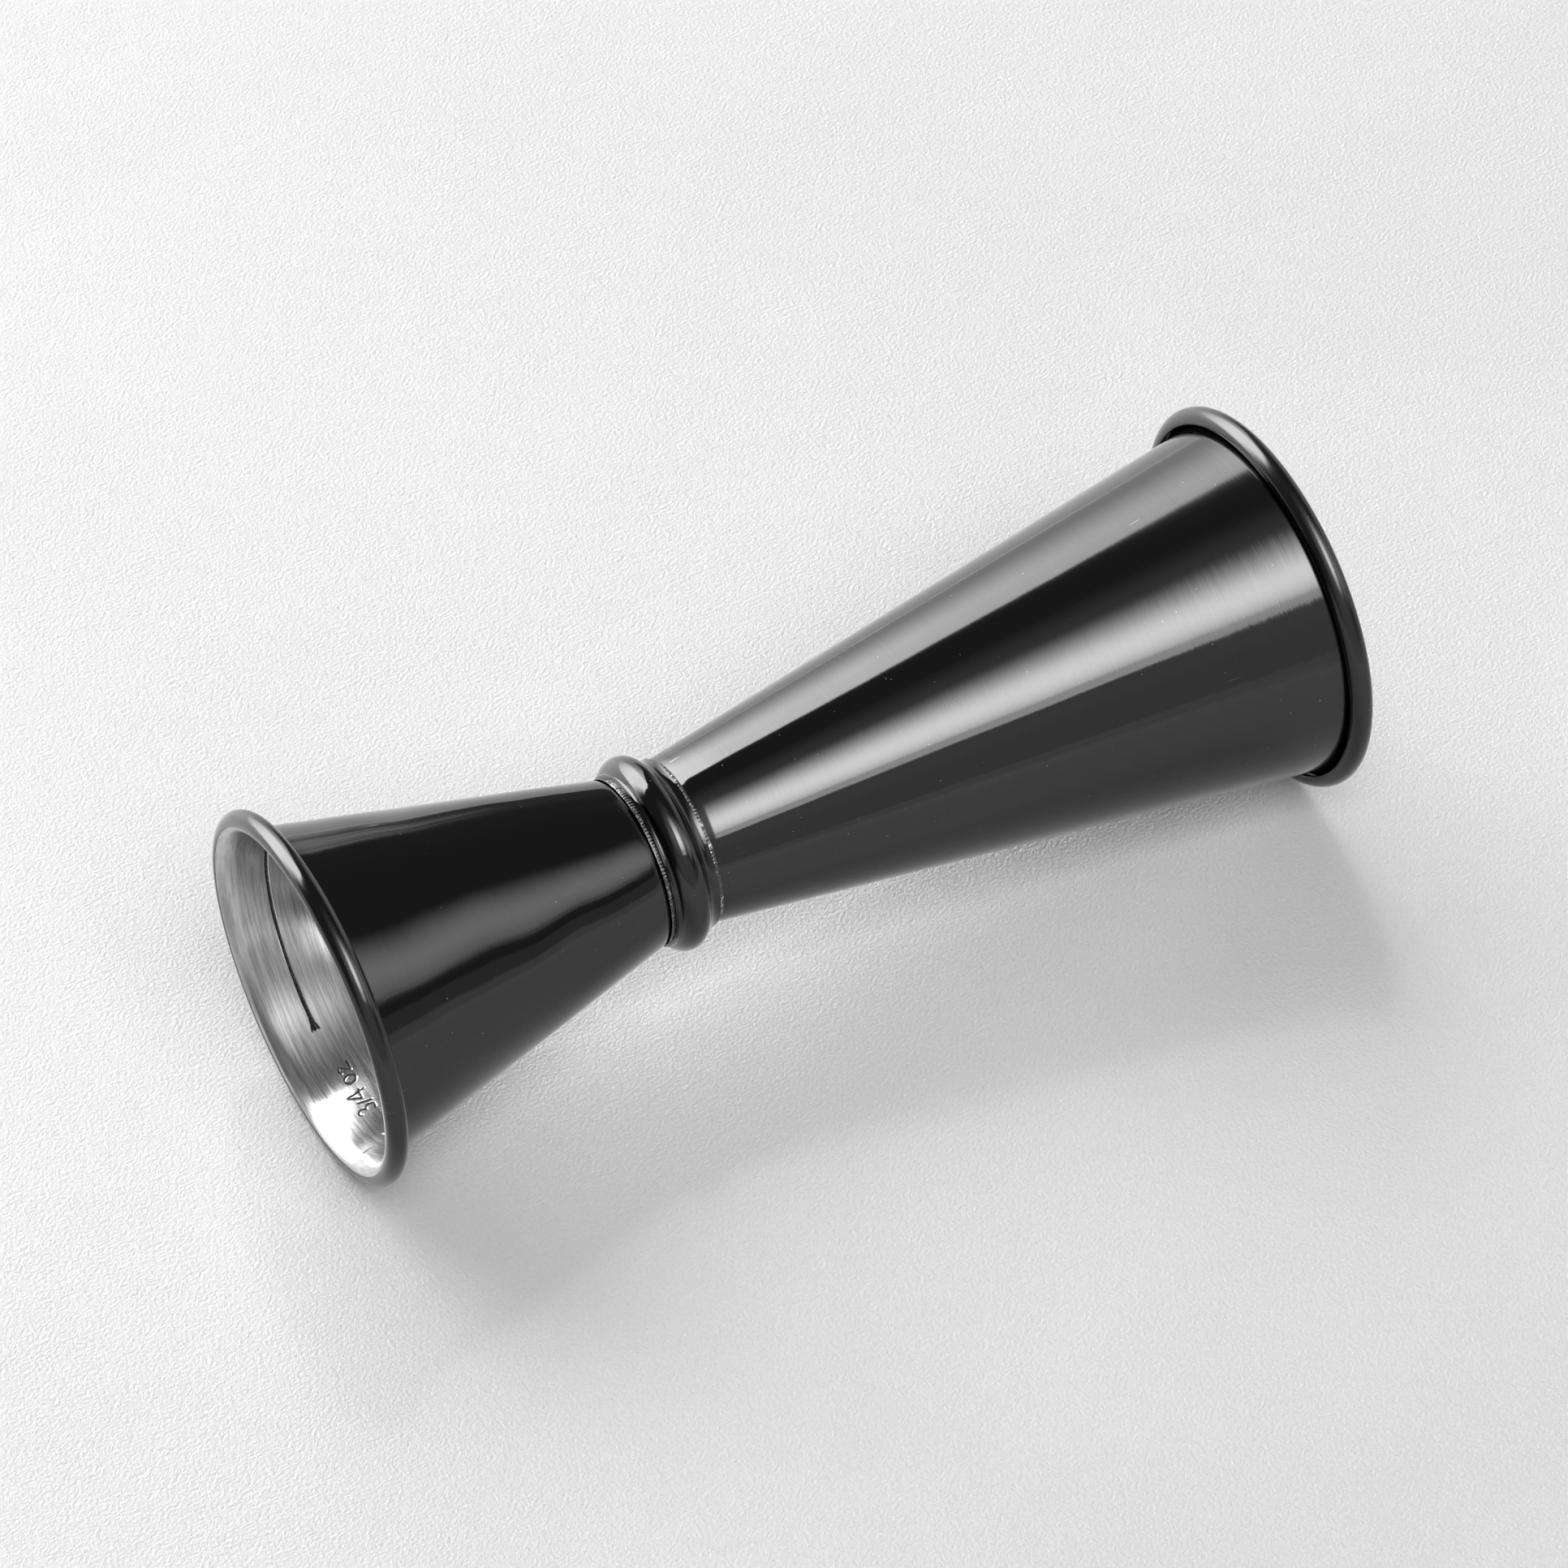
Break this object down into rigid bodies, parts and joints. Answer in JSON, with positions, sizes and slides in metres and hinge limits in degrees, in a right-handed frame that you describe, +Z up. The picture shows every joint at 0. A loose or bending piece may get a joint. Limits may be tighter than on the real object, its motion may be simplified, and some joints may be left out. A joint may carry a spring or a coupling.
{
  "type": "bar jigger",
  "caption": "Double-ended measuring jigger with two tapered steel cups, rolled rims and a beaded waist ring, lying on its side.",
  "frame": {"origin": "the middle of the box's bottom, on the surface that the jigger lies on", "axes": "+X along the jigger from the small cup to the large cup, +Z up, +Y across; the jigger lies on both rims with its axis tipped up about half a degree towards the large cup"},
  "size_m": [0.1248, 0.0466, 0.0466],
  "materials": {
    "cup_sheet": "dark coated outside, polished over fine turned lines; paler brushed steel inside",
    "ring_band": "dark coated, polished",
    "weld": "fine beaded weld metal, coated over"
  },
  "bodies": {
    "root": {"large_cup": "cup_sheet", "small_cup": "cup_sheet", "waist_ring": "ring_band", "large_side_weld": "weld", "small_side_weld": "weld"}
  },
  "joints": []
}
